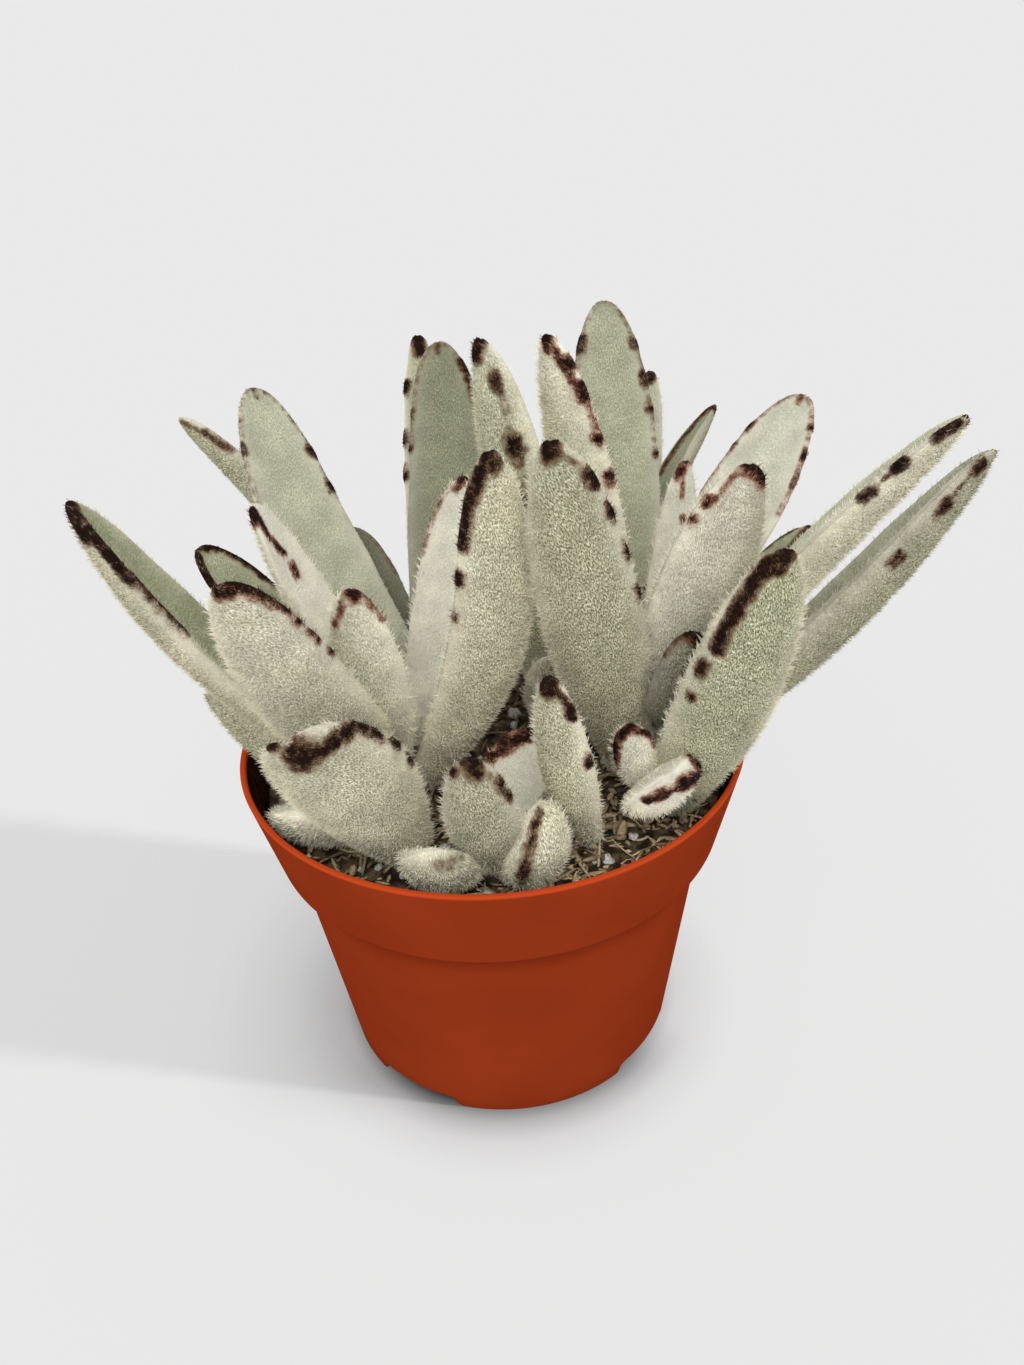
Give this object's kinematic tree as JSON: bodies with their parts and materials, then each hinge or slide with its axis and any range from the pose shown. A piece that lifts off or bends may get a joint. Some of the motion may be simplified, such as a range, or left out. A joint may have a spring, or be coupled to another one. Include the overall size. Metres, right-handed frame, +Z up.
{
  "type": "potted succulent plant",
  "caption": "Clump of upright, felt-covered grey-green leaves with dark brown tips, growing in potting mix in a round tapered orange plastic nursery pot.",
  "frame": {"origin": "middle of the pot's underside, on the surface it stands on", "axes": "+Z up, +X to the viewer's right, +Y away from the viewer"},
  "size_m": [0.1652, 0.1257, 0.1554],
  "materials": {
    "pot_plastic": "semi-matte moulded plastic",
    "soil": "loose bark, coir and white perlite",
    "stem_bark": "matt, fibrous",
    "leaf_felt": "dense short plant hair, matt with a pale rim"
  },
  "bodies": {
    "root": {"pot": "pot_plastic", "soil": "soil", "stem_left": "stem_bark", "stem_back_left": "stem_bark", "stem_middle": "stem_bark", "stem_right": "stem_bark", "stem_back_right": "stem_bark", "stem_front_left": "stem_bark", "stem_front": "stem_bark", "stem_front_right": "stem_bark", "stem_side": "stem_bark", "leaf_left_01": "leaf_felt", "leaf_left_02": "leaf_felt", "leaf_left_03": "leaf_felt", "leaf_left_04": "leaf_felt", "leaf_left_05": "leaf_felt", "leaf_left_06": "leaf_felt", "leaf_left_07": "leaf_felt", "leaf_left_08": "leaf_felt", "leaf_left_09": "leaf_felt", "leaf_left_10": "leaf_felt", "leaf_left_11": "leaf_felt", "leaf_back_left_01": "leaf_felt", "leaf_back_left_02": "leaf_felt", "leaf_back_left_03": "leaf_felt", "leaf_back_left_04": "leaf_felt", "leaf_back_left_05": "leaf_felt", "leaf_back_left_06": "leaf_felt", "leaf_back_left_07": "leaf_felt", "leaf_back_left_08": "leaf_felt", "leaf_middle_01": "leaf_felt", "leaf_middle_02": "leaf_felt", "leaf_middle_03": "leaf_felt", "leaf_middle_04": "leaf_felt", "leaf_right_01": "leaf_felt", "leaf_right_02": "leaf_felt", "leaf_right_03": "leaf_felt", "leaf_right_04": "leaf_felt", "leaf_right_05": "leaf_felt", "leaf_right_06": "leaf_felt", "leaf_right_07": "leaf_felt", "leaf_right_08": "leaf_felt", "leaf_back_right_01": "leaf_felt", "leaf_back_right_02": "leaf_felt", "leaf_back_right_03": "leaf_felt", "leaf_back_right_04": "leaf_felt", "leaf_back_right_05": "leaf_felt", "leaf_back_right_06": "leaf_felt", "leaf_back_right_07": "leaf_felt", "leaf_back_right_08": "leaf_felt", "leaf_front_left_01": "leaf_felt", "leaf_front_left_02": "leaf_felt", "leaf_front_01": "leaf_felt", "leaf_front_02": "leaf_felt", "leaf_front_03": "leaf_felt", "leaf_front_right_01": "leaf_felt", "leaf_side_01": "leaf_felt", "leaf_side_02": "leaf_felt", "leaf_side_03": "leaf_felt"}
  },
  "joints": []
}
